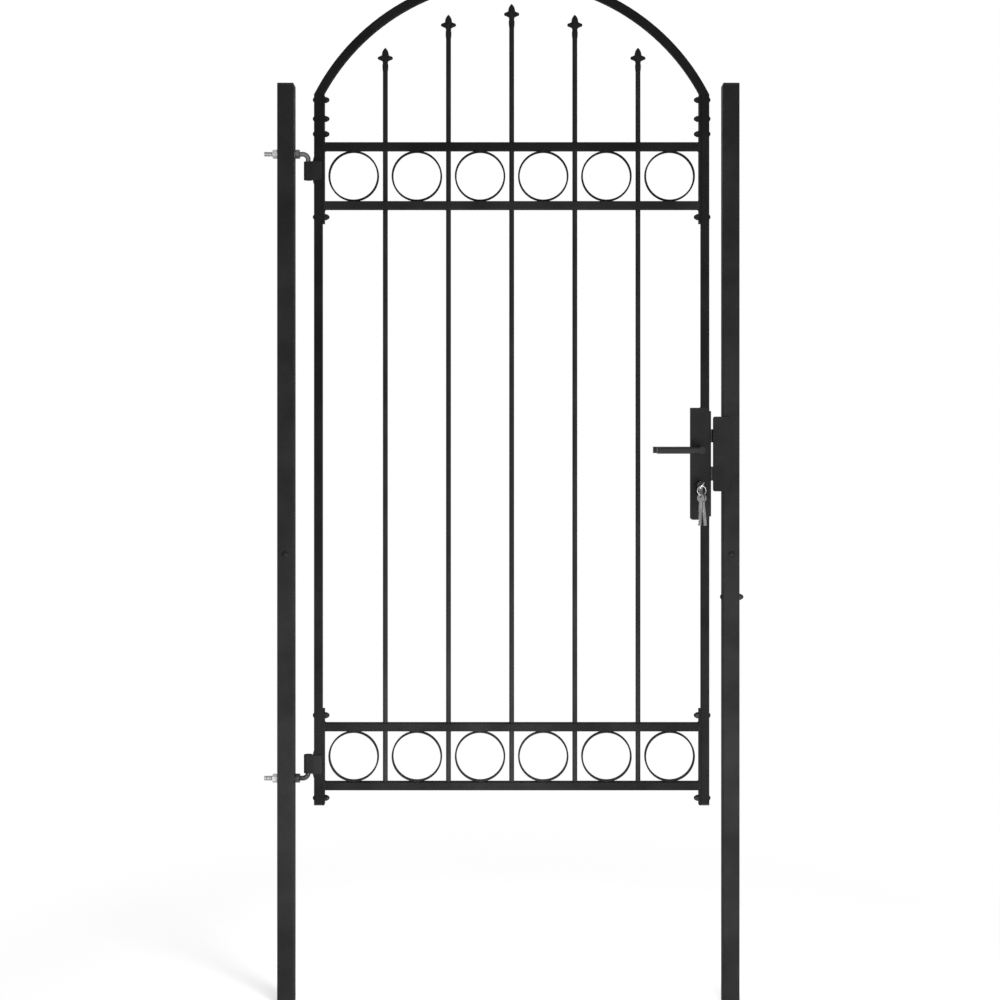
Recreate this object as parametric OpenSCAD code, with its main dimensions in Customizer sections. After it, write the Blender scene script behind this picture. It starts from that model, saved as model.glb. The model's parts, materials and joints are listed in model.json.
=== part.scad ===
// Arched steel garden gate: two square posts, a leaf hung on two hooked hinge bolts,
// and a mortice lock with levers, a latch, a deadbolt and keys.
// Millimetres. +Z is up, +X runs from the hinge post to the lock post, +Y points away from the front.
// The origin is the middle of the hinge post's foot.

/* [Overall] */
// Clear width between the two posts
opening_width = 1040; // [850:1300]
// Height of a post from its foot to the top of its cap
post_height = 2232; // [2180:2600]
// Height of the leaf's lower edge above the posts' feet
leaf_bottom = 480; // [350:520]
// Height of the leaf from its lower edge to the crown of its arch
leaf_height = 2020; // [1850:2100]
// Rise of the arch's outer edge above the shoulders of the frame
arch_rise = 294; // [200:360]

/* [Posts] */
// Side of the square post tube
post_size = 40; // [30:60]
// Wall of the post tube
post_wall = 2; // [1.5:0.5:4]
// Height of the cap above the end of the tube
cap_height = 5; // [4:8]
// Depth of the cap's plug inside the tube
cap_plug = 16; // [10:25]
// Height of the bolt through the front of each post, above its foot
post_bolt_height = 1090; // [900:1200]
// Height of the cross bolt through the lock post, above its foot
cross_bolt_height = 985; // [850:1050]

/* [Frame] */
// Side of the square tube of the stiles, rails and arch
tube = 20; // [16:30]
// Wall of the square tube
tube_wall = 1.5; // [1:0.5:3]
// Length of the arch's legs below its shoulders
leg_length = 80; // [60:120]
// Thickness of the flat end strips of the two panels
strip = 5; // [3:8]
// Distance from the stile's end to the centre line of the nearest rail
rail_inset = 46; // [35:70]
// Distance between the centre lines of two rails of one panel
rail_spacing = 143; // [100:180]
// Distance by which an end strip reaches past the rail it carries
strip_reach = 44; // [30:60]
// Gap between the leaf and the hinge post
hinge_gap = 48; // [45:70]
// Gap between the leaf and the lock post
lock_gap = 32; // [30:50]

/* [Infill] */
// Number of upright bars
picket_count = 5; // [3:2:7]
// Diameter of an upright bar
picket_dia = 12; // [8:16]
// Thickness of a ring's flat bar
ring_bar = 4; // [3:8]
// Depth of a ring's flat bar
ring_depth = 10; // [6:16]
// Height of a finial
finial_height = 57; // [50:70]
// Width of a finial over its side leaves
finial_width = 37; // [26:50]
// Drop of a finial's tip below the arch, for the middle bar
finial_drop = 52; // [30:80]
// Extra drop for each bar outwards from the middle one
finial_drop_step = 3; // [0:10]

/* [Hinges] */
// Diameter of the hooked hinge bolts
hook_dia = 12; // [10:16]
// Centre-line radius of the bend of a hinge bolt
hook_bend = 13; // [12:20]
// Straight length of the upright pin of a hinge bolt
hook_pin = 43; // [30:60]
// Length of a hinge bolt beyond the outer face of the post
hook_tail = 34; // [26:60]
// Distance from each end of the stile to a hinge bolt
hook_inset = 64; // [50:120]
// Outer diameter of a hinge eye
eye_dia = 21; // [20:26]
// Height of a hinge eye
eye_height = 44; // [30:60]
// Thickness of the plate that carries a hinge eye
eye_plate = 4; // [3:6]

/* [Lock] */
// Height of the handle's axis above the leaf's lower edge
handle_height = 862; // [700:1000]
// Distance from the handle's axis to the key's axis
key_drop = 85; // [72:92]
// Width of the lock box, with the stile that it replaces
box_width = 45; // [44:70]
// Height of the lock box
box_height = 272; // [240:320]
// Height of the lock box above the handle's axis
box_above = 103; // [80:140]
// Wall of the lock box
box_wall = 2; // [1.5:0.5:3]
// Thickness of the lock's front plate
forend = 4; // [3:5]
// Distance from the leaf's edge to the axes of the handle and the key
backset = 24; // [20:28]
// Length of a lever from its axis to its end
lever_length = 107; // [90:140]
// Distance from the leaf's mid-plane to the middle of a lever
lever_reach = 50; // [40:65]
// Throw of the latch beyond the front plate
latch_throw = 12; // [8:14]
// Throw of the deadbolt beyond the front plate
deadbolt_throw = 20; // [12:22]
// Height of the keep's plate
keep_height = 181; // [150:260]
// Distance by which the keep's plate reaches past the post
keep_reach = 25; // [15:26]
// Thickness of the keep's plate
keep_plate = 3; // [2:6]

/* [Hidden] */
$fn = 48;

// Clearances
slip = 0.1;        // a bar or bolt in its hole, on one body
running = 0.05;    // the hinge pin in its eye, radial
gap = 0.3;         // between pieces that move past each other
case_gap = 0.5;    // the bolts of the lock in their openings
cut = 1;           // by how much a cutting tool passes the face that it cuts

// Tubes
corner_ratio = 1.5; // outer corner radius of a tube over its wall
post_corner = corner_ratio * post_wall;
post_bore = post_size - 2 * post_wall;
post_bore_corner = post_corner - post_wall;
tube_corner = corner_ratio * tube_wall;
tube_bore = tube - 2 * tube_wall;
tube_bore_corner = tube_corner - tube_wall;

// Frame
leaf_left = post_size / 2 + hinge_gap;
leaf_width = opening_width - hinge_gap - lock_gap;
leaf_right = leaf_left + leaf_width;
leaf_mid = leaf_left + leaf_width / 2;
crown = leaf_bottom + leaf_height;
shoulder = crown - arch_rise;
arch_outer = (pow(leaf_width / 2, 2) + pow(arch_rise, 2)) / (2 * arch_rise);
arch_inner = arch_outer - tube;
arch_centre = crown - arch_outer;
mitre_inner = arch_centre + sqrt(pow(arch_inner, 2) - pow(leaf_width / 2 - tube, 2));
mitre_slope = (shoulder - mitre_inner) / tube;
weld = 1.6;
weld_proud = 0.4;
stile_top = shoulder - leg_length;
end_cap = 3;
end_plug = 12;
strip_left = leaf_left + tube;
strip_right = leaf_right - tube;
clear_left = strip_left + strip;
clear_width = strip_right - strip - clear_left;
rail_bottom_z = leaf_bottom + rail_inset;
rail_lower_z = rail_bottom_z + rail_spacing;
rail_top_z = stile_top - rail_inset;
rail_upper_z = rail_top_z - rail_spacing;

// Infill
bay = (clear_width - picket_count * picket_dia) / (picket_count + 1);
picket_pitch = bay + picket_dia;
ring_outer = rail_spacing / 2 - tube / 2 - gap / 2;
socket = 12;

// Posts
lock_post_x = opening_width + post_size;
tube_end = post_height - cap_height;
cap_round = 2;
plug_wall = 2;

// Bolts of the frame
bolt_dia = 8;
bolt_head_dia = 12;
bolt_head = 4;
bolt_head_rim = 1;
post_head_dia = 15;
post_head = 5;
nut_hex = 13;
nut_flat = 6.5;
nut_height = 12;
nut_reach = 2;
bolt_inset = 16;
splice_offsets = [-15, 22, leg_length - 12];
bolt_heights = concat(
  [leaf_bottom + bolt_inset, rail_lower_z + strip_reach - bolt_inset],
  [rail_upper_z - strip_reach + bolt_inset],
  [for (offset = splice_offsets) stile_top + offset]
);

// Hinges
eye_gap = 4.5;
hinge_x = leaf_left - eye_dia / 2 - eye_gap;
upper_hook_z = stile_top - hook_inset;
lower_hook_z = leaf_bottom + hook_inset;
hook_nut_hex = 1.6 * hook_dia;
hook_nut = 0.9 * hook_dia;
hook_washer_dia = 2 * hook_dia;
hook_washer = 2.5;
eye_drop = 6;
upper_eye_z = upper_hook_z - hook_bend - eye_drop - eye_height;
lower_eye_z = lower_hook_z + hook_bend + gap;

// Lock
handle_z = leaf_bottom + handle_height;
key_z = handle_z - key_drop;
box_left = leaf_right - box_width;
box_top = handle_z + box_above;
box_bottom = box_top - box_height;
spindle_x = leaf_right - backset;
box_corner = 5;
forend_margin = 8;
forend_corner = 4;
forend_height = box_height - 2 * forend_margin;
forend_bottom = box_bottom + forend_margin;
case_wall = 1.5;
case_depth = tube - 2 * (box_wall + gap);
case_margin = 9;
case_left = box_left + box_wall + 2 * case_gap;
case_bottom = forend_bottom + case_margin;
case_top = forend_bottom + forend_height - case_margin;
bolt_depth = case_depth - 2 * (case_wall + case_gap);
latch_z = handle_z + 35;
latch_size = 32;
latch_tail = 16;
latch_bevel = 9;
latch_nose = 3;
deadbolt_z = handle_z - 57;
deadbolt_size = 34;
deadbolt_tail = leaf_right - case_left - case_wall - case_gap - deadbolt_throw;
keep_overlap = 17;
keep_corner = 5;
keep_z = handle_z - 9;
spindle_side = 8;
spindle_bore = 14;
spindle_reach = lever_reach - 9;
lever_height = 16;
lever_depth = 13;
lever_corner = 4;
hub_dia = 17;
cylinder_length = 60;
cylinder_r = 8.5;
web_half = 5;
web_drop = 20;
plug_dia = 13;
plug_bore_end = 2;

// Keys
key_turn = 38;
key_plate = 2.2;
bow_r = 12;
bow_y = -cylinder_length / 2 - 14;
bow_hole = 6.5;    // from the bow's middle to the hole's
key_hole_r = 4.2;
blade_half = 4;
key_tip = 6;       // how far the key's tip stays from the lock's mid-plane
ring_r = 11;
ring_wire_r = 0.9;
ring_turn = 15;
ring_drop = 0.6;
ring_z = key_z - ring_drop - ring_r;
spare_plate = 2.2;
spare_bow_r = 10.5;
spare_hole = 5;    // from the bow's middle to the hole's
spare_turn = 42;
spare_spread = 10;
spare_drop = 2.3;
spare_length = 71;
spare_cuts = 5;
spare_cut_pitch = 6;
spare_cut_depth = 1.6;

module box(x, y, z) {
  translate([x[0], y[0], z[0]])
    cube([x[1] - x[0], y[1] - y[0], z[1] - z[0]]);
}

// A rectangle with rounded corners, centred on the origin
module rounded_rect(width, depth, r) {
  square([width - 2 * r, depth], center = true);
  square([width, depth - 2 * r], center = true);
  for (x = [-1, 1])
    for (y = [-1, 1])
      translate([x * (width / 2 - r), y * (depth / 2 - r)])
        circle(r = r);
}

// The section of a square tube
module tube_section(size, wall) {
  difference() {
    rounded_rect(size, size, corner_ratio * wall);
    rounded_rect(size - 2 * wall, size - 2 * wall, (corner_ratio - 1) * wall);
  }
}

// A square tube along Z from z0 to z1, centred on x
module upright_tube(x, size, wall, z0, z1) {
  translate([x, 0, z0])
    linear_extrude(z1 - z0)
      tube_section(size, wall);
}

// A round bar along X from x0 to x1
module bar_x(x0, x1, dia, z, sides = 48) {
  translate([x0, 0, z])
    rotate([0, 90, 0])
      cylinder(h = x1 - x0, d = dia, $fn = sides);
}

// A round bar along Y from y0 to y1
module bar_y(x, y0, y1, dia, z, sides = 48) {
  translate([x, y1, z])
    rotate([90, 0, 0])
      cylinder(h = y1 - y0, d = dia, $fn = sides);
}

// A hexagon nut without its bore, its seat at z = 0, both ends chamfered
module hex_nut(flats, height) {
  face_r = flats / 2 * 0.95;
  corner_r = flats / 2 / cos(30);
  over = corner_r + cut;
  chamfer = (over - face_r) * tan(30);
  intersection() {
    cylinder(h = height, r = corner_r, $fn = 6);
    rotate_extrude()
      polygon([
        [0, 0], [face_r, 0], [over, chamfer], [over, height - chamfer], [face_r, height], [0, height]
      ]);
  }
}

// A round bolt head, its seat at z = 0: a low rim and a dome
module domed_head(dia, height) {
  rise = height - bolt_head_rim;
  dome_r = (dia * dia / 4 + rise * rise) / (2 * rise);
  cylinder(h = bolt_head_rim, d = dia);
  intersection() {
    translate([0, 0, height - dome_r])
      sphere(r = dome_r);
    translate([0, 0, bolt_head_rim])
      cylinder(h = rise + cut, d = dia + cut);
  }
}

// A domed nut with its bore, its seat at z = 0
module domed_nut() {
  dome_r = nut_hex / 2 - 0.5;
  difference() {
    union() {
      hex_nut(nut_hex, nut_flat);
      translate([0, 0, nut_height - dome_r])
        sphere(r = dome_r);
    }
    translate([0, 0, -cut])
      cylinder(h = nut_flat + nut_reach + case_gap + cut, d = bolt_dia + 2 * slip);
  }
}

// ---- Posts ----

module post(x) {
  upright_tube(x, post_size, post_wall, 0, tube_end);
}

module hinge_post() {
  color([0.09, 0.09, 0.1])
    difference() {
      post(0);
      for (z = [upper_hook_z, lower_hook_z])
        bar_x(-post_size, post_size, hook_dia + 4 * slip, z);
      bar_y(0, -post_size, post_size, bolt_dia + 2 * slip, post_bolt_height);
    }
}

module lock_post() {
  color([0.09, 0.09, 0.1])
    difference() {
      post(lock_post_x);
      bar_y(lock_post_x, -post_size, post_size, bolt_dia + 2 * slip, post_bolt_height);
      bar_x(lock_post_x - post_size, lock_post_x + post_size, bolt_dia + 2 * slip, cross_bolt_height);
    }
}

// A bar along Y whose section is the cap's side view, with its upper edges rounded
module cap_side_view() {
  translate([0, post_size, tube_end])
    rotate([90, 0, 0])
      linear_extrude(2 * post_size)
        rounded_rect(post_size, 2 * cap_height, cap_round);
}

// The cap lies on the tube's end, flush with its sides, and its hollow plug fills the bore
module post_cap(x) {
  plug = post_bore - 2 * slip;
  translate([x, 0, 0]) {
    intersection() {
      translate([0, 0, tube_end])
        linear_extrude(cap_height)
          rounded_rect(post_size, post_size, post_corner);
      cap_side_view();
      rotate([0, 0, 90])
        cap_side_view();
    }
    translate([0, 0, tube_end - cap_plug])
      linear_extrude(cap_plug)
        difference() {
          rounded_rect(plug, plug, post_bore_corner);
          rounded_rect(plug - 2 * plug_wall, plug - 2 * plug_wall, post_bore_corner);
        }
  }
}

module post_caps() {
  color([0.07, 0.07, 0.08])
    for (x = [0, lock_post_x])
      post_cap(x);
}

// A bolt through a post, its head's seat at the origin, pointing along +Z, with a domed nut
module post_bolt(head_dia, head) {
  mirror([0, 0, 1])
    domed_head(head_dia, head);
  cylinder(h = post_size + nut_flat + nut_reach, d = bolt_dia);
  translate([0, 0, post_size])
    domed_nut();
}

module post_bolts() {
  color([0.07, 0.07, 0.08]) {
    for (x = [0, lock_post_x])
      translate([x, -post_size / 2, post_bolt_height])
        rotate([-90, 0, 0])
          post_bolt(post_head_dia, post_head);
    translate([lock_post_x - post_size / 2, 0, cross_bolt_height])
      rotate([0, 90, 0])
        post_bolt(post_head_dia, post_head);
  }
}

// ---- Hinges ----

// A hooked bolt through the hinge post, its rod at z = 0, its pin pointing up
module hook() {
  bar_x(-post_size / 2 - hook_tail, hinge_x - hook_bend, hook_dia, 0);
  translate([hinge_x - hook_bend, 0, hook_bend])
    rotate([90, 0, 0])
      rotate([0, 0, -90])
        rotate_extrude(angle = 90)
          translate([hook_bend, 0])
            circle(d = hook_dia);
  translate([hinge_x, 0, hook_bend])
    cylinder(h = hook_pin, d = hook_dia);
}

module upper_hinge_bolt() {
  color([0.62, 0.63, 0.64])
    translate([0, 0, upper_hook_z])
      mirror([0, 0, 1])
        hook();
}

module lower_hinge_bolt() {
  color([0.62, 0.63, 0.64])
    translate([0, 0, lower_hook_z])
      hook();
}

// A washer and a nut on a hinge bolt, the washer's seat at z = 0
module hook_nut_and_washer() {
  height = hook_washer + hook_nut;
  difference() {
    union() {
      cylinder(h = hook_washer, d = hook_washer_dia);
      translate([0, 0, hook_washer])
        hex_nut(hook_nut_hex, hook_nut);
    }
    translate([0, 0, -cut])
      cylinder(h = height + 2 * cut, d = hook_dia + 2 * slip);
  }
}

module hinge_nuts() {
  color([0.62, 0.63, 0.64])
    for (z = [upper_hook_z, lower_hook_z])
      for (side = [-1, 1])
        translate([side * post_size / 2, 0, z])
          rotate([0, side * 90, 0])
            hook_nut_and_washer();
}

// The section of an eye that turns on the pin, with its strap, which lies on the front of the stile
module eye_section() {
  strap_back = -tube / 2;
  strap_front = strap_back - eye_plate;
  near = leaf_left - hinge_x;
  far = strip_left - hinge_x;
  difference() {
    union() {
      circle(d = eye_dia);
      polygon([
        [0, 0], [0, gap - eye_dia / 2], [near, strap_front], [far, strap_front], [far, strap_back],
        [near, strap_back], [eye_dia / 2 - eye_plate / 2, 0]
      ]);
    }
    circle(d = hook_dia + 2 * running);
  }
}

module hinge_eye(z) {
  translate([hinge_x, 0, z])
    linear_extrude(eye_height)
      eye_section();
}

module upper_hinge_eye() {
  color([0.08, 0.08, 0.09])
    hinge_eye(upper_eye_z);
}

module lower_hinge_eye() {
  color([0.08, 0.08, 0.09])
    hinge_eye(lower_eye_z);
}

// ---- Leaf frame ----

module stile_bolt_holes(dia) {
  for (z = bolt_heights) {
    bar_x(leaf_left - cut, clear_left + cut, dia, z);
    bar_x(strip_right - strip - cut, leaf_right + cut, dia, z);
  }
}

module hinge_stile() {
  color([0.08, 0.08, 0.09])
    difference() {
      upright_tube(leaf_left + tube / 2, tube, tube_wall, leaf_bottom + end_cap, stile_top);
      stile_bolt_holes(bolt_dia + 2 * slip);
    }
}

module lock_stile() {
  color([0.08, 0.08, 0.09])
    difference() {
      union() {
        upright_tube(leaf_right - tube / 2, tube, tube_wall, leaf_bottom + end_cap, box_bottom);
        upright_tube(leaf_right - tube / 2, tube, tube_wall, box_top, stile_top);
      }
      stile_bolt_holes(bolt_dia + 2 * slip);
    }
}

// The space above the two mitres at which the arch meets its legs, raised by lift
module above_mitres(lift) {
  out = leaf_width / 2 + tube;
  in = leaf_width / 2 - 2 * tube;
  translate([leaf_mid, tube, shoulder + lift])
    rotate([90, 0, 0])
      linear_extrude(2 * tube)
        polygon([
          [-out, tube * mitre_slope], [-in, -2 * tube * mitre_slope], [in, -2 * tube * mitre_slope],
          [out, tube * mitre_slope], [out, arch_rise + tube], [-out, arch_rise + tube]
        ]);
}

// The frame's tube bent to the arch, above the mitres
module arch_bow() {
  intersection() {
    translate([leaf_mid, 0, arch_centre])
      rotate([90, 0, 0])
        rotate_extrude($fn = 180)
          translate([arch_outer - tube / 2, 0])
            tube_section(tube, tube_wall);
    above_mitres(gap);
  }
}

module arch_legs() {
  difference() {
    for (x = [leaf_left + tube / 2, leaf_right - tube / 2])
      upright_tube(x, tube, tube_wall, stile_top, shoulder);
    above_mitres(-gap);
  }
}

// The weld that fills the mitre on the lock side, with the leaf's middle at x = 0
module mitre_weld() {
  tilt = atan(mitre_slope);
  inside = tube_bore - 2 * weld_proud;
  outer_width = round(10 * tube / cos(tilt)) / 10 + 2 * weld_proud;
  inner_width = round(10 * inside / cos(tilt)) / 10;
  translate([leaf_width / 2 - tube / 2, 0, shoulder - tube / 2 * mitre_slope])
    rotate([0, -tilt, 0])
      translate([0, 0, -weld / 2])
        linear_extrude(weld)
          difference() {
            rounded_rect(outer_width, tube + 2 * weld_proud, tube_corner + weld_proud);
            rounded_rect(inner_width, inside, tube_bore_corner);
          }
}

module arch() {
  color([0.08, 0.08, 0.09])
    difference() {
      union() {
        arch_bow();
        arch_legs();
        translate([leaf_mid, 0, 0]) {
          mitre_weld();
          mirror([1, 0, 0])
            mitre_weld();
        }
      }
      stile_bolt_holes(bolt_dia + 2 * slip);
    }
}

// Two strips on the inner sides of the stiles, from z0 to z1
module strip_pair(z0, z1) {
  difference() {
    for (x = [strip_left, strip_right - strip])
      box([x, x + strip], [-tube / 2, tube / 2], [z0, z1]);
    stile_bolt_holes(bolt_dia + 2 * slip);
  }
}

// The upper strips follow the arch at their top
module upper_end_strips() {
  color([0.08, 0.08, 0.09])
    intersection() {
      strip_pair(rail_upper_z - strip_reach, shoulder);
      bar_y(leaf_mid, -tube, tube, 2 * (arch_inner - 2 * gap), arch_centre, 180);
    }
}

module lower_end_strips() {
  color([0.08, 0.08, 0.09])
    strip_pair(leaf_bottom, rail_lower_z + strip_reach);
}

module picket_holes(z0, z1) {
  for (i = [0 : picket_count - 1])
    translate([picket_x(i), 0, z0])
      cylinder(h = z1 - z0, d = picket_dia + 2 * slip);
}

// A square tube between the end strips; the bars go through its top, and through its bottom if open
module rail(z, open_below) {
  hole_from = open_below ? -tube : 0;
  difference() {
    translate([clear_left, 0, z])
      rotate([90, 0, 90])
        linear_extrude(clear_width)
          tube_section(tube, tube_wall);
    picket_holes(z + hole_from, z + tube);
  }
}

module rail_top() {
  color([0.08, 0.08, 0.09])
    rail(rail_top_z, true);
}

module rail_upper() {
  color([0.08, 0.08, 0.09])
    rail(rail_upper_z, true);
}

module rail_lower() {
  color([0.08, 0.08, 0.09])
    rail(rail_lower_z, true);
}

module rail_bottom() {
  color([0.08, 0.08, 0.09])
    rail(rail_bottom_z, false);
}

// ---- Infill ----

function picket_x(i) = clear_left + bay + picket_dia / 2 + i * picket_pitch;
function steps_out(i) = abs(i - (picket_count - 1) / 2);
function arch_height_at(x) = arch_centre + sqrt(pow(arch_inner, 2) - pow(x - leaf_mid, 2));
function finial_tip(i) = arch_height_at(picket_x(i)) - finial_drop - finial_drop_step * steps_out(i);
function finial_foot(i) = finial_tip(i) - finial_height;

module pickets() {
  foot = rail_bottom_z - tube / 2 + tube_wall;
  color([0.08, 0.08, 0.09])
    for (i = [0 : picket_count - 1])
      translate([picket_x(i), 0, foot])
        cylinder(h = finial_foot(i) + socket - foot, d = picket_dia);
}

// Half the outline of a finial without its leaves: a beaded socket and a bud that ends in a point
module finial_outline() {
  bud_half = 0.23 * finial_width;
  bud_height = 18;
  widest = finial_height - bud_height;
  side_r = (bud_half * bud_half + bud_height * bud_height) / (2 * bud_half);
  sweep = asin(bud_height / side_r);
  steps = 8;
  foot_r = picket_dia / 2 + 0.5;
  bead_r = foot_r + 0.7;
  neck_r = foot_r - 0.1;
  polygon(concat(
    [[0, 0], [foot_r, 0], [bead_r, socket - 4], [bead_r, socket + 3], [neck_r, socket + 5.5]],
    [[neck_r, socket + 7.5], [bead_r, socket + 12], [bud_half, widest - 6]],
    [
      for (i = [0 : steps - 1])
        [bud_half - side_r * (1 - cos(sweep * i / steps)), widest + side_r * sin(sweep * i / steps)]
    ],
    [[0, finial_height]]
  ));
}

// A side leaf: it tapers out from the bud, ends in a knob and is flat in front and behind
module finial_leaf() {
  knob_r = 4.4;
  root_r = 11;
  half_depth = 7;
  reach = finial_width / 2 - knob_r;
  intersection() {
    cylinder(h = reach, r1 = root_r, r2 = knob_r);
    box([-root_r, root_r], [-half_depth, half_depth], [0, reach]);
  }
  translate([0, 0, reach])
    sphere(r = knob_r);
}

// A cast finial on its foot
module finial() {
  leaf_drop = 25.5;
  difference() {
    union() {
      rotate_extrude()
        finial_outline();
      for (side = [-1, 1])
        translate([0, 0, finial_height - leaf_drop])
          rotate([0, side * 90, 0])
            finial_leaf();
    }
    translate([0, 0, -cut])
      cylinder(h = socket + cut, d = picket_dia + 2 * slip);
  }
}

module finials() {
  color([0.06, 0.06, 0.07])
    for (i = [0 : picket_count - 1])
      translate([picket_x(i), 0, finial_foot(i)])
        finial();
}

module ring_row(z) {
  for (i = [0 : picket_count])
    translate([picket_x(i) - picket_pitch / 2, ring_depth / 2, z])
      rotate([90, 0, 0])
        difference() {
          cylinder(h = ring_depth, r = ring_outer, $fn = 96);
          translate([0, 0, -cut])
            cylinder(h = ring_depth + 2 * cut, r = ring_outer - ring_bar, $fn = 96);
        }
}

module upper_rings() {
  color([0.08, 0.08, 0.09])
    ring_row((rail_top_z + rail_upper_z) / 2);
}

module lower_rings() {
  color([0.08, 0.08, 0.09])
    ring_row((rail_lower_z + rail_bottom_z) / 2);
}

// ---- Bolts of the frame ----

// A bolt through a stile and its end strip, its head's seat at the origin, pointing along +Z
module stile_bolt() {
  mirror([0, 0, 1])
    domed_head(bolt_head_dia, bolt_head);
  cylinder(h = tube + strip + nut_flat + nut_reach, d = bolt_dia);
}

module stile_bolts() {
  color([0.07, 0.07, 0.08])
    for (z = bolt_heights) {
      translate([leaf_left, 0, z])
        rotate([0, 90, 0])
          stile_bolt();
      translate([leaf_right, 0, z])
        rotate([0, -90, 0])
          stile_bolt();
    }
}

module stile_nuts() {
  color([0.07, 0.07, 0.08])
    for (z = bolt_heights) {
      translate([clear_left, 0, z])
        rotate([0, 90, 0])
          domed_nut();
      translate([strip_right - strip, 0, z])
        rotate([0, -90, 0])
          domed_nut();
    }
}

// Plugs in the lower ends of the stiles
module stile_end_caps() {
  plug = tube_bore - 2 * slip;
  color([0.05, 0.05, 0.05])
    for (x = [leaf_left + tube / 2, leaf_right - tube / 2])
      translate([x, 0, leaf_bottom]) {
        linear_extrude(end_cap)
          rounded_rect(tube, tube, tube_corner);
        linear_extrude(end_plug)
          rounded_rect(plug, plug, tube_bore_corner);
      }
}

// ---- Lock ----

// The outline of the profile cylinder, its plug's axis at the origin
module cylinder_outline(extra) {
  circle(r = cylinder_r + extra);
  translate([-web_half - extra, -web_drop])
    square([2 * (web_half + extra), web_drop]);
  translate([0, -web_drop])
    circle(r = web_half + extra);
}

module cylinder_body(y0, y1, extra) {
  translate([spindle_x, y1, key_z])
    rotate([90, 0, 0])
      linear_extrude(y1 - y0)
        cylinder_outline(extra);
}

// The side view of the lock box, less a margin all round, with its free lower corner rounded
module box_side_view(margin) {
  r = box_corner - margin;
  width = box_width - 2 * margin;
  height = box_height - 2 * margin;
  translate([box_left + margin, box_bottom + margin]) {
    translate([r, 0])
      square([width - r, height]);
    translate([0, r])
      square([width, height - r]);
    translate([r, r])
      circle(r = r);
  }
}

module box_block(margin) {
  depth = tube - 2 * margin;
  translate([0, depth / 2, 0])
    rotate([90, 0, 0])
      linear_extrude(depth)
        box_side_view(margin);
}

module lock_box() {
  inside = tube / 2 - box_wall;
  color([0.08, 0.08, 0.09])
    difference() {
      box_block(0);
      box_block(box_wall);
      box([leaf_right - 2 * box_wall, leaf_right + cut], [-inside, inside],
        [case_bottom - cut, case_top + cut]);
      bar_y(spindle_x, -tube, tube, spindle_bore, handle_z);
      cylinder_body(-tube, tube, case_gap);
    }
}

module lock_case() {
  y = case_depth / 2;
  color([0.5, 0.5, 0.5])
    difference() {
      box([case_left, leaf_right], [-y, y], [case_bottom, case_top]);
      box([case_left + case_wall, leaf_right + cut], [-y + case_wall, y - case_wall],
        [case_bottom + case_wall, case_top - case_wall]);
      bar_y(spindle_x, -tube, tube, spindle_bore, handle_z);
      cylinder_body(-tube, tube, case_gap);
    }
}

module bolt_opening(z, size) {
  half = bolt_depth / 2 + case_gap;
  box([leaf_right - cut, leaf_right + forend + cut], [-half, half],
    [z - size / 2 - case_gap, z + size / 2 + case_gap]);
}

module lock_forend() {
  color([0.45, 0.45, 0.46])
    difference() {
      translate([leaf_right, 0, forend_bottom + forend_height / 2])
        rotate([90, 0, 90])
          linear_extrude(forend)
            rounded_rect(tube, forend_height, forend_corner);
      bolt_opening(latch_z, latch_size);
      bolt_opening(deadbolt_z, deadbolt_size);
    }
}

module lock_cylinder() {
  half = cylinder_length / 2;
  color([0.7, 0.66, 0.5])
    difference() {
      cylinder_body(-half, half, 0);
      bar_y(spindle_x, -half - cut, -plug_bore_end, plug_dia + 2 * slip, key_z);
    }
}

module latch_bolt() {
  tip = leaf_right + forend + latch_throw;
  half = bolt_depth / 2;
  color([0.5, 0.5, 0.5])
    translate([0, 0, latch_z - latch_size / 2])
      linear_extrude(latch_size)
        polygon([
          [leaf_right - latch_tail, -half], [tip - latch_bevel, -half], [tip, half - latch_nose],
          [tip, half], [leaf_right - latch_tail, half]
        ]);
}

module deadbolt() {
  half = bolt_depth / 2;
  color([0.5, 0.5, 0.5])
    box([leaf_right - deadbolt_tail, leaf_right + forend + deadbolt_throw], [-half, half],
      [deadbolt_z - deadbolt_size / 2, deadbolt_z + deadbolt_size / 2]);
}

// The keep's plate lies on the front of the lock post and reaches past it towards the leaf
module lock_keep() {
  width = keep_reach + keep_overlap;
  left = lock_post_x - post_size / 2 - keep_reach;
  color([0.08, 0.08, 0.09])
    translate([left + width / 2, -post_size / 2, keep_z])
      rotate([90, 0, 0])
        linear_extrude(keep_plate)
          rounded_rect(width, keep_height, keep_corner);
}

// A lever on the front of the leaf: a straight arm, and a neck down to the lock box
module lever() {
  socket_half = spindle_side / 2 + slip;
  difference() {
    union() {
      bar_y(spindle_x, -lever_reach - lever_depth / 2, -tube / 2 - gap, hub_dia, handle_z);
      translate([spindle_x - lever_length, -lever_reach, handle_z])
        rotate([90, 0, 90])
          linear_extrude(lever_length)
            rounded_rect(lever_depth, lever_height, lever_corner);
    }
    box([spindle_x - socket_half, spindle_x + socket_half], [-spindle_reach - cut, 0],
      [handle_z - socket_half, handle_z + socket_half]);
  }
}

module handle_front() {
  color([0.05, 0.05, 0.05])
    lever();
}

module handle_rear() {
  color([0.05, 0.05, 0.05])
    mirror([0, 1, 0])
      lever();
}

module spindle() {
  half = spindle_side / 2;
  color([0.5, 0.5, 0.5])
    box([spindle_x - half, spindle_x + half], [-spindle_reach, spindle_reach],
      [handle_z - half, handle_z + half]);
}

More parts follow.
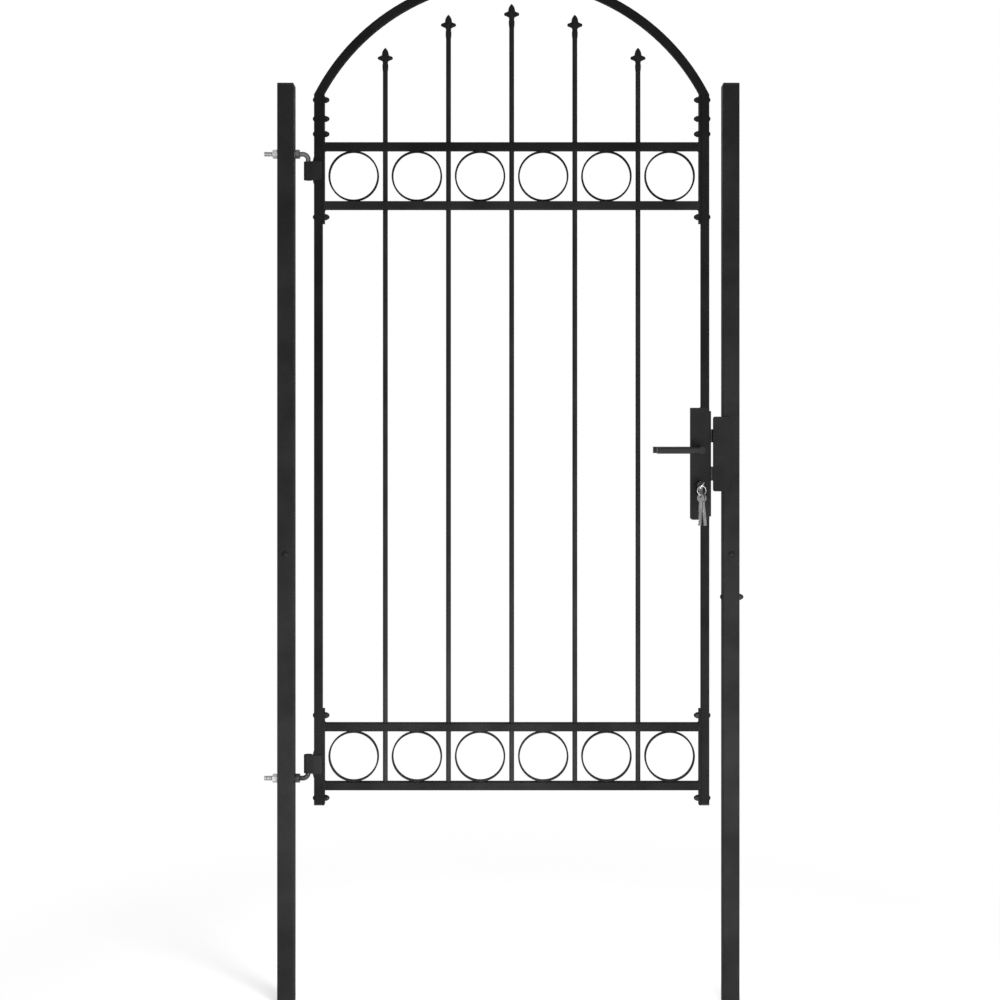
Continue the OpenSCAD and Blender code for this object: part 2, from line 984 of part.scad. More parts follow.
// Its keyway stands at the angle to which the key is turned
module cylinder_plug() {
  half = cylinder_length / 2;
  keyway_half = key_plate / 2 + slip;
  keyway_side = blade_half + case_gap;
  color([0.75, 0.7, 0.5])
    difference() {
      bar_y(spindle_x, -half, -plug_bore_end - case_gap, plug_dia, key_z);
      translate([spindle_x, 0, key_z])
        rotate([0, key_turn, 0])
          box([-keyway_half, keyway_half], [-half - cut, -key_tip + cut], [-keyway_side, keyway_side]);
    }
}

// ---- Keys ----

// A disc in the plane across X, its middle at the origin
module flat_disc(r, thickness) {
  translate([-thickness / 2, 0, 0])
    rotate([0, 90, 0])
      cylinder(h = thickness, r = r);
}

// The key in the lock: its hole is at the end of its bow
module key() {
  half = key_plate / 2;
  color([0.6, 0.61, 0.6])
    translate([spindle_x, 0, key_z])
      rotate([0, key_turn, 0])
        difference() {
          union() {
            translate([0, bow_y, 0])
              flat_disc(bow_r, key_plate);
            box([-half, half], [bow_y, -key_tip], [-blade_half, blade_half]);
          }
          translate([0, bow_y - bow_hole, 0])
            flat_disc(key_hole_r, key_plate + 2 * cut);
        }
}

module key_ring() {
  color([0.65, 0.66, 0.66])
    translate([spindle_x, bow_y - bow_hole, ring_z])
      rotate([90, 0, ring_turn])
        rotate_extrude()
          translate([ring_r, 0])
            circle(r = ring_wire_r);
}

// A key that hangs flat across X from the middle of its hole
module spare_key() {
  difference() {
    union() {
      translate([0, 0, -spare_hole])
        flat_disc(spare_bow_r, spare_plate);
      box([-spare_plate / 2, spare_plate / 2], [-blade_half, blade_half], [-spare_length, -spare_hole]);
    }
    flat_disc(key_hole_r, spare_plate + 2 * cut);
    for (i = [0 : spare_cuts - 1])
      translate([-spare_plate, blade_half, -spare_length + spare_cut_pitch * (i + 1)])
        rotate([45, 0, 0])
          translate([0, -spare_cut_depth, -spare_cut_depth])
            cube([2 * spare_plate, 2 * spare_cut_depth, 2 * spare_cut_depth]);
  }
}

// Two spare keys side by side at the bottom of the ring, each swung a little its own way
module spare_keys() {
  swing = [3.5, -7];
  color([0.6, 0.61, 0.6])
    for (i = [0, 1]) {
      side = 2 * i - 1;
      along = side * ring_r * sin(spare_spread);
      translate([
        spindle_x + along * cos(ring_turn), bow_y - bow_hole + along * sin(ring_turn),
        ring_z - ring_r * cos(spare_spread) - spare_drop
      ])
        rotate([0, 0, spare_turn])
          rotate([swing[i], 0, 0])
            spare_key();
    }
}

hinge_post();
lock_post();
post_caps();
post_bolts();
upper_hinge_bolt();
lower_hinge_bolt();
hinge_nuts();
lock_keep();
hinge_stile();
lock_stile();
arch();
upper_end_strips();
lower_end_strips();
rail_top();
rail_upper();
rail_lower();
rail_bottom();
pickets();
finials();
upper_rings();
lower_rings();
upper_hinge_eye();
lower_hinge_eye();
stile_bolts();
stile_nuts();
stile_end_caps();
lock_box();
lock_case();
lock_forend();
lock_cylinder();
latch_bolt();
deadbolt();
handle_front();
handle_rear();
spindle();
cylinder_plug();
key();
key_ring();
spare_keys();
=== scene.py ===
import json
import math
import random

import bpy
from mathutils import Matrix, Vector


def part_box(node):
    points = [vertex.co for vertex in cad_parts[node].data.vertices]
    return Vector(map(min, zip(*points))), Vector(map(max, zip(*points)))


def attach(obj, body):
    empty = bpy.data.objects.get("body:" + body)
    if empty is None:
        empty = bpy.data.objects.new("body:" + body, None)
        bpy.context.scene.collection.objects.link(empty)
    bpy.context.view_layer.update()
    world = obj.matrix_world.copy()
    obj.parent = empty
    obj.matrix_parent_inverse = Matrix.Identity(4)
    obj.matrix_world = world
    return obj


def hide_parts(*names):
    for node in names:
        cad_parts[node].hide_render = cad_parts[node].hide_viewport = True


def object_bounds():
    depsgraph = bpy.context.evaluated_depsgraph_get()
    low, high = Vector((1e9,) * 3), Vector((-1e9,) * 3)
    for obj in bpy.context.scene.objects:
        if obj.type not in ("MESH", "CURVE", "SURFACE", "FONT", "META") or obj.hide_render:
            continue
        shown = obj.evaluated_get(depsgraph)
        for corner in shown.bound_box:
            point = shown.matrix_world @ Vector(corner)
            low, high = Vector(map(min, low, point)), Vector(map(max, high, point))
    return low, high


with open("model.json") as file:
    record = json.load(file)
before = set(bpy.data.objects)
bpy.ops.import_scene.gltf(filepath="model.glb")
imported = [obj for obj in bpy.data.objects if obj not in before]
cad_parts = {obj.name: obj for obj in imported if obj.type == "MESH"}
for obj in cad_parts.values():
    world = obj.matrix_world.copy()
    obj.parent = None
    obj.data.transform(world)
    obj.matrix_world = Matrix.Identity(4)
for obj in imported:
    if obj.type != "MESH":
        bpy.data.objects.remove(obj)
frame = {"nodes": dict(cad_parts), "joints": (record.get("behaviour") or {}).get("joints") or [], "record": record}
cad_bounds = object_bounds()

MM = 0.001
BACK = Vector((0, 1, 0))
UP = Vector((0, 0, 1))
rng = random.Random(7)


# ---- Where things are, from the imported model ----

def centre_of(node):
    low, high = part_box(node)
    return (low + high) / 2


def picket_places():
    """The X of each upright bar's axis, the bars' radius and their pitch."""
    low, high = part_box("pickets")
    radius = (high.y - low.y) / 2
    first, last = low.x + radius, high.x - radius
    ring_low, ring_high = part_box("upper_rings")
    ring_radius = (ring_high.z - ring_low.z) / 2
    pitch = 2 * (first - (ring_low.x + ring_radius))
    count = round((last - first) / pitch) + 1
    return [first + i * pitch for i in range(count)], radius, pitch


PICKETS, PICKET_RADIUS, PICKET_PITCH = picket_places()
RAILS = ["rail_top", "rail_upper", "rail_lower", "rail_bottom"]
HINGE_AXIS = Vector(next(j for j in frame["joints"] if j["name"] == "leaf_swing")["pos_m"])


# ---- Materials ----

# The Mix node's sockets for colours
MIX_FACTOR, MIX_A, MIX_B = 0, 6, 7
MIX_RESULT = 2


class Shader:
    """A Principled material under construction, with its texture coordinates in the object's own frame."""

    def __init__(self, name, **sockets):
        self.material = bpy.data.materials.new(name)
        self.material.use_nodes = True
        self.nodes = self.material.node_tree.nodes
        self.links = self.material.node_tree.links
        self.bsdf = self.nodes["Principled BSDF"]
        self.coords = self.nodes.new("ShaderNodeTexCoord").outputs["Object"]
        for socket, value in sockets.items():
            self.bsdf.inputs[socket.replace("_", " ")].default_value = value

    def stretched(self, scale):
        """The coordinates scaled along each axis, for grain that runs one way."""
        mapping = self.nodes.new("ShaderNodeMapping")
        mapping.inputs["Scale"].default_value = scale
        self.links.new(self.coords, mapping.inputs["Vector"])
        return mapping.outputs["Vector"]

    def noise(self, scale, detail, coords=None):
        node = self.nodes.new("ShaderNodeTexNoise")
        node.inputs["Scale"].default_value = scale
        node.inputs["Detail"].default_value = detail
        self.links.new(coords or self.coords, node.inputs["Vector"])
        return node.outputs["Fac"]

    def along(self, axis, start, end):
        """0 where the coordinate on the axis is below start, 1 where it is above end."""
        split = self.nodes.new("ShaderNodeSeparateXYZ")
        self.links.new(self.coords, split.inputs["Vector"])
        node = self.nodes.new("ShaderNodeMapRange")
        node.inputs["From Min"].default_value = start
        node.inputs["From Max"].default_value = end
        self.links.new(split.outputs[axis], node.inputs["Value"])
        return node.outputs["Result"]

    def ramp(self, value, low, high, start=0.35, end=0.65):
        """A colour or number that goes from low to high as value goes from start to end."""
        node = self.nodes.new("ShaderNodeValToRGB")
        points = node.color_ramp.elements
        points[0].position, points[1].position = start, end
        for point, colour in zip(points, (low, high)):
            if isinstance(colour, (int, float)):
                colour = (colour, colour, colour)
            point.color = (*colour, 1)
        self.links.new(value, node.inputs["Fac"])
        return node.outputs["Color"]

    def mix(self, factor, a, b):
        """From a to b as factor goes from 0 to 1. a and b are outputs or plain colours."""
        node = self.nodes.new("ShaderNodeMix")
        node.data_type = "RGBA"
        for socket, value in ((MIX_FACTOR, factor), (MIX_A, a), (MIX_B, b)):
            if isinstance(value, tuple):
                node.inputs[socket].default_value = (*value, 1)
            else:
                self.links.new(value, node.inputs[socket])
        return node.outputs[MIX_RESULT]

    def feed(self, socket, output):
        self.links.new(output, self.bsdf.inputs[socket])

    def bump(self, *layers):
        """Stacks bump layers, each (height, strength, depth in metres)."""
        normal = None
        for height, strength, depth in layers:
            node = self.nodes.new("ShaderNodeBump")
            node.inputs["Strength"].default_value = strength
            node.inputs["Distance"].default_value = depth
            self.links.new(height, node.inputs["Height"])
            if normal is not None:
                self.links.new(normal, node.inputs["Normal"])
            normal = node.outputs["Normal"]
        self.feed("Normal", normal)


def powder_coat(name, low, high, roughness, peel, peel_strength, specular=0.08):
    """Satin powder coat: orange peel in the skin, and a slow drift in tone and gloss."""
    s = Shader(name, Specular_IOR_Level=specular)
    s.feed("Base Color", s.ramp(s.noise(scale=9, detail=4), low, high))
    s.feed("Roughness", s.ramp(s.noise(scale=45, detail=5), roughness - 0.05, roughness + 0.07))
    s.bump(
        (s.noise(peel, detail=2), peel_strength, 0.3 * MM),
        (s.noise(peel * 4, detail=2), peel_strength * 0.5, 0.1 * MM),
    )
    return s.material


def zinc():
    """Zinc plating with faint blue and yellow clouds: a painted reflection makes it bright on the side away
    from the leaf, and painted shade makes it darker on the leaf's side, more so towards the bottom."""
    s = Shader("zinc_plating", Metallic=1.0)
    clouds = s.noise(scale=130, detail=4)
    # Painted reflection on the side away from the leaf, and painted shade on the leaf's side, darker in its lower
    # part
    painted_reflection = s.ramp(clouds, (0.39, 0.395, 0.4), (0.5, 0.5, 0.485))
    painted_shade_upper = s.ramp(clouds, (0.1, 0.102, 0.104), (0.16, 0.16, 0.155))
    painted_shade_lower = s.ramp(clouds, (0.03, 0.031, 0.03), (0.062, 0.062, 0.058))
    height = s.along("Z", 0.7, 1.9)
    leaf_side = s.along("X", -15 * MM, 15 * MM)
    plating = s.mix(leaf_side, painted_reflection, s.mix(height, painted_shade_lower, painted_shade_upper))
    stains = s.ramp(s.noise(scale=420, detail=6), 0.0, 1.0, start=0.56, end=0.78)
    stain_colour = (0.16, 0.16, 0.158)
    s.feed("Base Color", s.mix(stains, plating, stain_colour))
    s.feed("Roughness", s.ramp(s.noise(scale=600, detail=4), 0.34, 0.5))
    s.bump((s.noise(scale=1500, detail=3), 0.1, 0.1 * MM))
    return s.material


def brushed(name, low, high, roughness, grain_scale):
    """Metal with a grain that runs one way, and soft stains."""
    s = Shader(name, Metallic=1.0)
    grain = s.noise(scale=1, detail=4, coords=s.stretched(grain_scale))
    stain = s.ramp(s.noise(scale=90, detail=4), 0.0, 0.6)
    s.feed("Base Color", s.mix(stain, s.ramp(grain, low, high), low))
    s.feed("Roughness", s.ramp(grain, roughness - 0.08, roughness + 0.1))
    s.bump((grain, 0.12, 0.1 * MM))
    return s.material


def plastic():
    """Moulded plastic with a fine spark-eroded grain."""
    s = Shader("moulded_plastic", Specular_IOR_Level=0.15)
    tone = s.noise(scale=60, detail=3)
    s.feed("Base Color", s.ramp(tone, (0.010, 0.010, 0.011), (0.016, 0.016, 0.016)))
    s.feed("Roughness", s.ramp(s.noise(scale=200, detail=3), 0.5, 0.62))
    s.bump((s.noise(scale=1800, detail=2), 0.35, 0.15 * MM))
    return s.material


def cast_coat():
    """The same coat over a cast surface, which stays a little lumpy below it."""
    s = Shader("coated_casting", Specular_IOR_Level=0.1)
    tone = s.noise(scale=70, detail=4)
    s.feed("Base Color", s.ramp(tone, (0.004, 0.004, 0.0044), (0.0075, 0.0075, 0.008)))
    s.feed("Roughness", s.ramp(s.noise(scale=150, detail=4), 0.42, 0.55))
    s.bump(
        (s.noise(scale=260, detail=3), 0.25, 0.4 * MM),
        (s.noise(scale=1400, detail=2), 0.1, 0.15 * MM),
    )
    return s.material


MATERIALS = {
    "black_powder_coat": powder_coat(
        "satin_powder_coat", (0.0115, 0.0115, 0.0118), (0.0168, 0.0171, 0.0166),
        roughness=0.74, peel=620, peel_strength=0.05, specular=0.035),
    "cast_black": cast_coat(),
    "bolt_black": powder_coat(
        "coated_bolts", (0.008, 0.008, 0.0083), (0.013, 0.013, 0.0132),
        roughness=0.34, peel=900, peel_strength=0.05),
    "zinc_plated_steel": zinc(),
    "black_plastic": plastic(),
    # Plated steel with a dark grey base colour that holds painted shade, for the latch and bolts that sit in
    # shadow
    "lock_steel": brushed(
        "lock_plate", (0.05, 0.05, 0.052), (0.085, 0.085, 0.087),
        roughness=0.42, grain_scale=(900, 900, 30)),
    "cylinder_nickel": brushed(
        "dark_nickel", (0.035, 0.035, 0.036), (0.06, 0.06, 0.06),
        roughness=0.4, grain_scale=(400, 900, 400)),
    "lever_black": powder_coat(
        "lever_coat", (0.008, 0.008, 0.0085), (0.013, 0.013, 0.013),
        roughness=0.34, peel=1100, peel_strength=0.04),
    "key_nickel": brushed(
        "key_plating", (0.27, 0.277, 0.274), (0.4, 0.41, 0.4),
        roughness=0.36, grain_scale=(700, 700, 90)),
}

# These parts of the leaf are a shade darker than the posts, the bars and the second rail
LEAF_COAT = powder_coat(
    "leaf_coat", (0.0064, 0.0064, 0.0066), (0.01, 0.0102, 0.0098),
    roughness=0.74, peel=620, peel_strength=0.05, specular=0.035)
LEAF_TUBES = {
    "hinge_stile", "lock_stile", "arch", "upper_end_strips", "lower_end_strips", "rail_top", "rail_lower",
    "rail_bottom", "upper_rings", "lower_rings",
}


def paint_frame():
    """Each CAD node gets the material of the slot that the record gives it, or the leaf's darker coat."""
    for part in frame["record"]["subparts"]:
        name = part["node"]
        node = frame["nodes"][name]
        node.data.materials.clear()
        node.data.materials.append(LEAF_COAT if name in LEAF_TUBES else MATERIALS[part["material_slot"]])


# ---- Mesh helpers ----

SHARP_ANGLE = math.radians(50)


class Batch:
    """Vertices and faces of several shapes that become one mesh."""

    def __init__(self):
        self.verts = []
        self.faces = []

    def grid(self, rows, wrap_rows=False):
        """Joins closed rings of equal length into a skin, and the last to the first with wrap_rows."""
        base = len(self.verts)
        columns = len(rows[0])
        for row in rows:
            self.verts.extend(row)
        last_row = len(rows) if wrap_rows else len(rows) - 1
        for i in range(last_row):
            this_row = base + i * columns
            next_row = base + (i + 1) % len(rows) * columns
            for j in range(columns):
                k = (j + 1) % columns
                self.faces.append((this_row + j, this_row + k, next_row + k, next_row + j))
        return base

    def cap(self, start, count, flip):
        ring = list(range(start, start + count))
        self.faces.append(tuple(reversed(ring)) if flip else tuple(ring))

    def tube(self, rows):
        """A closed skin through rings, with flat ends."""
        base = self.grid(rows)
        count = len(rows[0])
        self.cap(base, count, True)
        self.cap(base + (len(rows) - 1) * count, count, False)

    def build(self, name, body, slot):
        """One smooth mesh of the whole batch, which rides on the body and has the slot's material."""
        mesh = bpy.data.meshes.new(name)
        mesh.from_pydata([tuple(v) for v in self.verts], [], self.faces)
        mesh.validate()
        mesh.update()
        obj = bpy.data.objects.new(name, mesh)
        bpy.context.scene.collection.objects.link(obj)
        mesh.polygons.foreach_set("use_smooth", [True] * len(mesh.polygons))
        mesh.set_sharp_from_angle(angle=SHARP_ANGLE)
        mesh.materials.append(MATERIALS[slot])
        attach(obj, body)
        return obj


def ring_round(centre, across, along, radius, sides):
    """A ring of points round centre, in the plane of two unit vectors."""
    return [
        centre + across * (radius * math.cos(2 * math.pi * k / sides))
        + along * (radius * math.sin(2 * math.pi * k / sides))
        for k in range(sides)
    ]


# ---- Welds ----

BEAD_SIDES = 10
BEAD_STEP = 0.45 * MM
BEAD_RIPPLE = 2.2 * MM
BEAD_VALLEY = 0.88      # share of the radius between two ripples
BEAD_RIPPLE_RISE = 0.14
BEAD_END = 0.02         # the square of what is left of the radius at the very ends
COLLAR_STEPS = 28
COLLAR_SIDES = 8
COLLAR_LUMPS = 7
COLLAR_MEAN = 0.9
COLLAR_UNEVENNESS = 0.14
EDGE = 1 * MM           # how far a bead stays from the end of its edge


def bead(batch, start, end, radius, end_radius=None):
    """A weld bead along a line: overlapping ripples on a round back, tapered at both ends. It gets thinner
    towards its end where end_radius is given."""
    end_radius = end_radius or radius
    direction = (end - start).normalized()
    length = (end - start).length
    across = direction.orthogonal().normalized()
    along = direction.cross(across)
    steps = max(6, round(length / BEAD_STEP))
    phase = rng.uniform(0, math.pi)
    rows = []
    for i in range(steps + 1):
        s = length * i / steps
        end_taper = min(1.0, s / radius, (length - s) / end_radius)
        round_end = math.sqrt(max(BEAD_END, 1 - (1 - end_taper) ** 2))
        ripple = BEAD_VALLEY + BEAD_RIPPLE_RISE * abs(math.sin(math.pi * s / BEAD_RIPPLE + phase))
        width = radius + (end_radius - radius) * i / steps
        rows.append(ring_round(
            start + direction * s, across, along, width * (round_end * ripple), BEAD_SIDES))
    batch.tube(rows)


def collar_bead(batch, centre, radius, size):
    """A weld fillet round an upright bar."""
    phase = rng.uniform(0, math.pi)
    rows = []
    for i in range(COLLAR_STEPS):
        angle = 2 * math.pi * i / COLLAR_STEPS
        outward = Vector((math.cos(angle), math.sin(angle), 0))
        bulge = size * (COLLAR_MEAN + COLLAR_UNEVENNESS * math.sin(COLLAR_LUMPS * angle + phase))
        rows.append(ring_round(centre + outward * radius, outward, UP, bulge, COLLAR_SIDES))
    batch.grid(rows, wrap_rows=True)


def rail_welds():
    """Fillets between the rails and their end strips: above, below, in front and behind each rail end."""
    batch = Batch()
    inset = 0.9 * MM
    for rail in RAILS:
        low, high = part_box(rail)
        for x in (low.x, high.x):
            for z in (low.z, high.z):
                start, end = Vector((x, low.y + EDGE, z)), Vector((x, high.y - EDGE, z))
                bead(batch, start, end, radius=2.0 * MM)
            for y in (low.y + inset, high.y - inset):
                start, end = Vector((x, y, low.z + EDGE)), Vector((x, y, high.z - EDGE))
                bead(batch, start, end, radius=1.3 * MM)
    batch.build("rail_welds", "leaf", "black_powder_coat")


def picket_welds():
    """A small fillet round each bar where it passes a rail's face."""
    batch = Batch()
    for rail in RAILS:
        low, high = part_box(rail)
        faces = [high.z] if rail == "rail_bottom" else [low.z, high.z]
        for x in PICKETS:
            for z in faces:
                collar_bead(batch, Vector((x, 0, z)), radius=PICKET_RADIUS + 0.2 * MM, size=1.2 * MM)
    batch.build("picket_welds", "leaf", "black_powder_coat")


def ring_welds():
    """Tacks at the front and back of each ring where it meets the rails."""
    batch = Batch()
    inset = 0.6 * MM
    first = PICKETS[0] - PICKET_PITCH / 2
    for node in ("upper_rings", "lower_rings"):
        low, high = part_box(node)
        for i in range(len(PICKETS) + 1):
            x = first + i * PICKET_PITCH
            for z in (low.z, high.z):
                for y in (low.y + inset, high.y - inset):
                    half_length = Vector((rng.uniform(3.2, 4.6) * MM, 0, 0))
                    middle = Vector((x, y, z))
                    bead(batch, middle - half_length, middle + half_length, radius=1.5 * MM)
    batch.build("ring_tacks", "leaf", "black_powder_coat")


def hinge_welds():
    """Beads above and below the eyes' straps: one that runs out along the stile's outer corner, and one
    across its front."""
    batch = Batch()
    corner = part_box("hinge_stile")[0]
    x, y = corner.x, corner.y
    for node in ("upper_hinge_eye", "lower_hinge_eye"):
        low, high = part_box(node)
        for z, away in ((low.z, -1), (high.z, 1)):
            start = Vector((x - 0.4 * MM, y + 1 * MM, z - away * 3 * MM))
            end = Vector((x + 0.3 * MM, y + 2 * MM, z + away * 11 * MM))
            bead(batch, start, end, radius=3.6 * MM, end_radius=1 * MM)
            start, end = Vector((x + 2 * MM, y, z)), Vector((high.x - EDGE, y, z))
            bead(batch, start, end, radius=1.8 * MM)
    batch.build("hinge_welds", "leaf", "black_powder_coat")


def lock_box_welds():
    """Seams where the stile meets the lock box above and below: in front, behind and towards the leaf."""
    batch = Batch()
    box_low, box_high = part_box("lock_box")
    stile_low, stile_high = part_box("lock_stile")
    inset = 0.7 * MM
    inner, outer = stile_low.x, stile_high.x - EDGE
    front, back = stile_low.y + inset, stile_high.y - inset
    for z in (box_low.z, box_high.z):
        bead(batch, Vector((inner, front, z)), Vector((outer, front, z)), radius=1.5 * MM)
        bead(batch, Vector((outer, back, z)), Vector((inner, back, z)), radius=1.5 * MM)
        bead(batch, Vector((inner, back, z)), Vector((inner, front, z)), radius=1.9 * MM)
    batch.build("lock_box_welds", "leaf", "black_powder_coat")


def keep_welds():
    """Beads along the upper and lower edges of the keep's plate on the post."""
    batch = Batch()
    low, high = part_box("lock_keep")
    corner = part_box("lock_post")[0]
    for z in (low.z, high.z):
        start = Vector((corner.x + 1.5 * MM, corner.y, z))
        end = Vector((high.x - EDGE, corner.y, z))
        bead(batch, start, end, radius=1.7 * MM)
    batch.build("keep_welds", "posts", "black_powder_coat")


# ---- Hinge bolts with their threads ----

BOLT_SIDES = 28
THREAD_PITCH = 1.75 * MM
THREAD_DEPTH = 0.95 * MM
THREAD_PAST_POST = 17 * MM
STEPS_PER_PITCH = 7
CREST_GAIN, ROOT_WIDTH = 1.35, 0.12    # flat crests over narrow roots
TIP_CHAMFER = 1.4 * MM
ROD_STEPS = 4
BEND_RADIUS = 13 * MM
BEND_STEPS = 16
PIN_NOSE = 2 * MM
PIN_NOSE_PROFILE = ((1.2, 0.0), (0.45, 0.35), (0.0, 0.9))    # (from the tip, off the radius), in noses


def thread_radius(radius, from_tip, to_end, turn):
    """The threaded rod's radius at these distances from its tip and to the thread's end. turn is where on
    the thread's wave the point lies, from 0 to 1."""
    wave = abs(2 * turn - 1)
    crest = min(1.0, max(0.0, wave * CREST_GAIN - ROOT_WIDTH))
    run_out = min(1.0, max(0.0, to_end / (2 * THREAD_PITCH)))
    cut = radius - THREAD_DEPTH * (1 - crest) * run_out
    return min(cut, radius - max(0.0, TIP_CHAMFER - from_tip))


def thread_rings(tip_x, end_x, z, radius):
    """Rings along the threaded tail, from its chamfered tip to where the thread runs out."""
    rings = []
    steps = round((end_x - tip_x) / (THREAD_PITCH / STEPS_PER_PITCH))
    for i in range(steps + 1):
        x = tip_x + (end_x - tip_x) * i / steps
        ring = []
        for k in range(BOLT_SIDES):
            angle = 2 * math.pi * k / BOLT_SIDES
            turn = ((x - tip_x) / THREAD_PITCH + k / BOLT_SIDES) % 1.0
            r = thread_radius(radius, x - tip_x, end_x - x, turn)
            ring.append(Vector((x, 0, z)) + BACK * (r * math.cos(angle)) + UP * (r * math.sin(angle)))
        rings.append(ring)
    return rings


def hinge_bolt(name, node, pin_direction):
    """A hooked bolt in one skin: threaded tail, plain rod, quarter bend and pin. pin_direction is 1 where
    the pin points up and -1 where it points down. The piece stands for the CAD's plain bolt."""
    low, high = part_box(node)
    radius = (high.y - low.y) / 2
    rod_z = low.z + radius if pin_direction > 0 else high.z - radius
    tip_z = high.z if pin_direction > 0 else low.z
    rod_end = HINGE_AXIS.x - BEND_RADIUS
    thread_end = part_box("hinge_post")[1].x + THREAD_PAST_POST
    rings = thread_rings(low.x, thread_end, rod_z, radius)
    for i in range(1, ROD_STEPS + 1):
        x = thread_end + (rod_end - thread_end) * i / ROD_STEPS
        rings.append(ring_round(Vector((x, 0, rod_z)), BACK, UP, radius, BOLT_SIDES))
    for i in range(1, BEND_STEPS + 1):
        a = math.pi / 2 * i / BEND_STEPS
        rise = pin_direction * BEND_RADIUS * (1 - math.cos(a))
        centre = Vector((rod_end + BEND_RADIUS * math.sin(a), 0, rod_z + rise))
        normal = Vector((-pin_direction * math.sin(a), 0, math.cos(a)))
        rings.append(ring_round(centre, BACK, normal, radius, BOLT_SIDES))
    pin_normal = Vector((-pin_direction, 0, 0))
    for from_tip, cut in PIN_NOSE_PROFILE:
        centre = Vector((HINGE_AXIS.x, 0, tip_z - pin_direction * PIN_NOSE * from_tip))
        rings.append(ring_round(centre, BACK, pin_normal, radius - cut * PIN_NOSE, BOLT_SIDES))
    batch = Batch()
    batch.tube(rings)
    bolt = batch.build(name, "posts", "zinc_plated_steel")
    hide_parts(node)


# ---- Floor, light and camera ----

FLOOR_HALF_WIDTH = 9.0
FLOOR_GREY = 0.8
FLOOR_FILL = 0.31
FLOOR_FADE_START = 0.8
FLOOR_FADE_END = 1.7
WORLD_LIGHT = 0.55
FOOT_LIGHT_HEIGHT = 0.15
CAMERA_DISTANCE = 3.63
CAMERA_HEIGHT = 1.391


def seen_directly(nodes, links):
    """1 for rays from the camera and for those in reflections and through glass."""
    path = nodes.new("ShaderNodeLightPath")
    total = path.outputs["Is Camera Ray"]
    for name in ("Is Glossy Ray", "Is Transmission Ray"):
        add = nodes.new("ShaderNodeMath")
        add.operation = "MAXIMUM"
        links.new(total, add.inputs[0])
        links.new(path.outputs[name], add.inputs[1])
        total = add.outputs[0]
    return total


def mix_shaders(nodes, links, factor, a, b):
    """From shader a to shader b as factor goes from 0 to 1."""
    mix = nodes.new("ShaderNodeMixShader")
    for socket, output in enumerate((factor, a, b)):
        links.new(output, mix.inputs[socket])
    return mix.outputs[0]


def emission(nodes, strength):
    node = nodes.new("ShaderNodeEmission")
    node.inputs["Strength"].default_value = strength
    return node.outputs[0]


def distance_fade(nodes, links, centre):
    """0 near centre, 1 far from it."""
    coords = nodes.new("ShaderNodeTexCoord")
    offset = nodes.new("ShaderNodeVectorMath")
    offset.operation = "DISTANCE"
    offset.inputs[1].default_value = centre
    links.new(coords.outputs["Object"], offset.inputs[0])
    fade = nodes.new("ShaderNodeMapRange")
    fade.interpolation_type = "SMOOTHSTEP"
    fade.inputs["From Min"].default_value = FLOOR_FADE_START
    fade.inputs["From Max"].default_value = FLOOR_FADE_END
    links.new(offset.outputs["Value"], fade.inputs["Value"])
    return fade.outputs["Result"]


def floor_material(centre):
    """A pale grey that the lamps light. Seen directly it is a little lighter, and fades to white."""
    material = bpy.data.materials.new("pale_floor")
    material.use_nodes = True
    nodes, links = material.node_tree.nodes, material.node_tree.links
    nodes.clear()
    output = nodes.new("ShaderNodeOutputMaterial")
    diffuse = nodes.new("ShaderNodeBsdfDiffuse")
    diffuse.inputs["Color"].default_value = (FLOOR_GREY, FLOOR_GREY, FLOOR_GREY, 1)
    lit = nodes.new("ShaderNodeAddShader")
    links.new(diffuse.outputs[0], lit.inputs[0])
    links.new(emission(nodes, FLOOR_FILL), lit.inputs[1])
    white = emission(nodes, 1.0)
    seen = mix_shaders(nodes, links, distance_fade(nodes, links, centre), lit.outputs[0], white)
    final = mix_shaders(nodes, links, seen_directly(nodes, links), diffuse.outputs[0], seen)
    links.new(final, output.inputs["Surface"])
    return material


def make_floor():
    """A pale floor that keeps the object's shadow and fades to the white of the background."""
    low, high = cad_bounds
    middle = (low + high) / 2
    centre = (middle.x, middle.y, low.z)
    mesh = bpy.data.meshes.new("floor")
    corners = [
        (middle.x + x * FLOOR_HALF_WIDTH, middle.y + y * FLOOR_HALF_WIDTH, low.z)
        for x, y in ((-1, -1), (1, -1), (1, 1), (-1, 1))
    ]
    mesh.from_pydata(corners, [], [(0, 1, 2, 3)])
    floor = bpy.data.objects.new("floor", mesh)
    bpy.context.scene.collection.objects.link(floor)
    mesh.materials.append(floor_material(centre))


def background(nodes, strength):
    node = nodes.new("ShaderNodeBackground")
    node.inputs["Color"].default_value = (1, 1, 1, 1)
    node.inputs["Strength"].default_value = strength
    return node.outputs[0]


def make_world():
    """White where it is seen directly, and a softer light all round."""
    world = bpy.data.worlds.new("studio")
    bpy.context.scene.world = world
    world.use_nodes = True
    nodes, links = world.node_tree.nodes, world.node_tree.links
    nodes.clear()
    output = nodes.new("ShaderNodeOutputWorld")
    light, white = background(nodes, WORLD_LIGHT), background(nodes, 1.0)
    seen = mix_shaders(nodes, links, seen_directly(nodes, links), light, white)
    links.new(seen, output.inputs["Surface"])


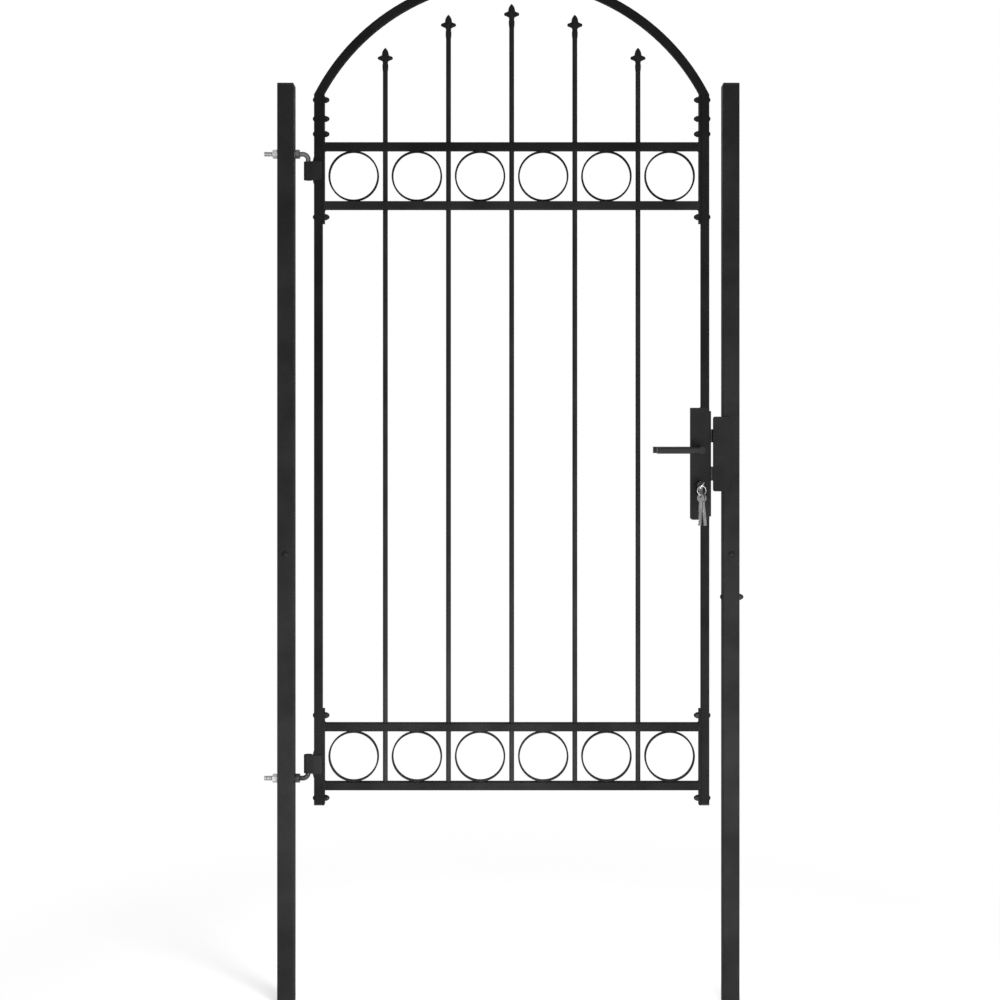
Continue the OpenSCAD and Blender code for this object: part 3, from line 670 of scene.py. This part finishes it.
def softbox(name, place, target, size, power):
    """A soft light that isn't itself seen, so that it can't wash out thin bars in front of it."""
    data = bpy.data.lights.new(name, "AREA")
    data.shape = "RECTANGLE"
    data.size, data.size_y = size
    data.energy = power
    lamp = bpy.data.objects.new(name, data)
    lamp.visible_camera = False
    lamp.location = place
    lamp.rotation_mode = "QUATERNION"
    lamp.rotation_quaternion = (target - place).to_track_quat("-Z", "Y")
    bpy.context.scene.collection.objects.link(lamp)


def make_lights():
    """Two large lights in front, a low one for the posts' lower ends, a small one for the lower rails, left
    of their middle, and one behind."""
    low, high = cad_bounds
    middle = (low + high) / 2
    foot = Vector((middle.x, middle.y, low.z + FOOT_LIGHT_HEIGHT))
    rail = centre_of("rail_bottom") + Vector((-0.12, 0, 0.03))
    softbox("key", middle + Vector((1.4, -3.1, -0.4)), middle, size=(1.6, 1.2), power=45)
    softbox("side", middle + Vector((-1.9, -3.1, -0.3)), middle, size=(1.2, 1.6), power=20)
    softbox("low", foot + Vector((0.9, -1.9, 0.35)), foot + Vector((0.3, 0, 0)), size=(1.6, 0.4), power=44)
    softbox("rails", rail + Vector((0, -0.5, -0.05)), rail, size=(0.25, 0.1), power=5.2)
    softbox("back", middle + Vector((-0.2, 3.0, 2.0)), middle, size=(2.0, 1.2), power=28)


def make_camera():
    """A level view of the whole gate, from a little right of the middle of the opening."""
    data = bpy.data.cameras.new("camera")
    data.lens = 54
    data.sensor_width = 36
    data.shift_x = -0.010
    data.shift_y = -0.070
    camera = bpy.data.objects.new("camera", data)
    middle = (centre_of("hinge_post").x + centre_of("lock_post").x) / 2
    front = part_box("lock_post")[0].y
    camera.location = (middle + 4 * MM, front - CAMERA_DISTANCE, CAMERA_HEIGHT)
    camera.rotation_euler = (math.radians(90), 0, 0)
    bpy.context.scene.collection.objects.link(camera)
    bpy.context.scene.camera = camera


paint_frame()
rail_welds()
picket_welds()
ring_welds()
hinge_welds()
lock_box_welds()
keep_welds()
hinge_bolt("upper_hook", "upper_hinge_bolt", -1)
hinge_bolt("lower_hook", "lower_hinge_bolt", 1)
make_floor()
make_world()
make_lights()
make_camera()
bpy.context.scene.view_settings.view_transform = "Standard"
